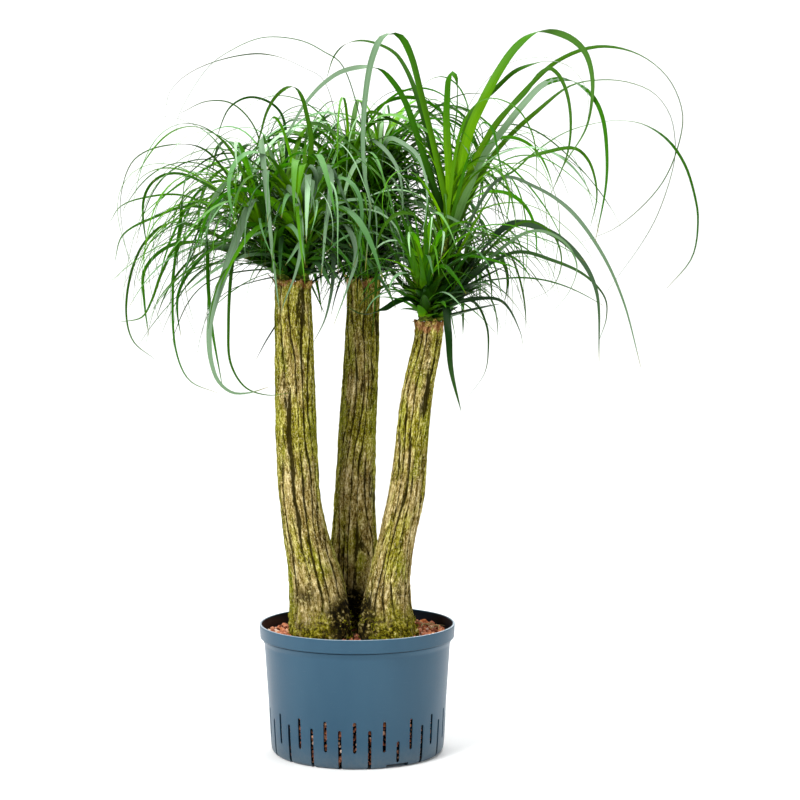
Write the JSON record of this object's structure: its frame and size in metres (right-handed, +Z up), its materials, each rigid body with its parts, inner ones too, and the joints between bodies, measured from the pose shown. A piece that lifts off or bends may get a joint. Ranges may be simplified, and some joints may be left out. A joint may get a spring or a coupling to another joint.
{
  "type": "potted ponytail palm",
  "caption": "Ponytail palm with cut trunks and arching leafy shoots, standing in clay granules in a slotted plastic inner pot.",
  "frame": {"origin": "middle of the pot's underside, on the surface that it stands on", "axes": "+Z up the trunks, -Y towards the front, +X to the right as seen from the front"},
  "size_m": [0.8303, 0.5444, 1.0302],
  "materials": {
    "pot": "satin",
    "granules": "matte",
    "bark": "matte",
    "leaf": "satin"
  },
  "bodies": {
    "root": {"pot": "pot", "granules": "granules", "trunk_left": "bark", "trunk_middle": "bark", "trunk_right": "bark", "shoot_left_a": "leaf", "shoot_left_b": "leaf", "shoot_left_c": "leaf", "shoot_mid_a": "leaf", "shoot_mid_b": "leaf", "shoot_mid_c": "leaf", "shoot_right_a": "leaf", "shoot_right_b": "leaf", "shoot_right_c": "leaf"}
  },
  "joints": []
}
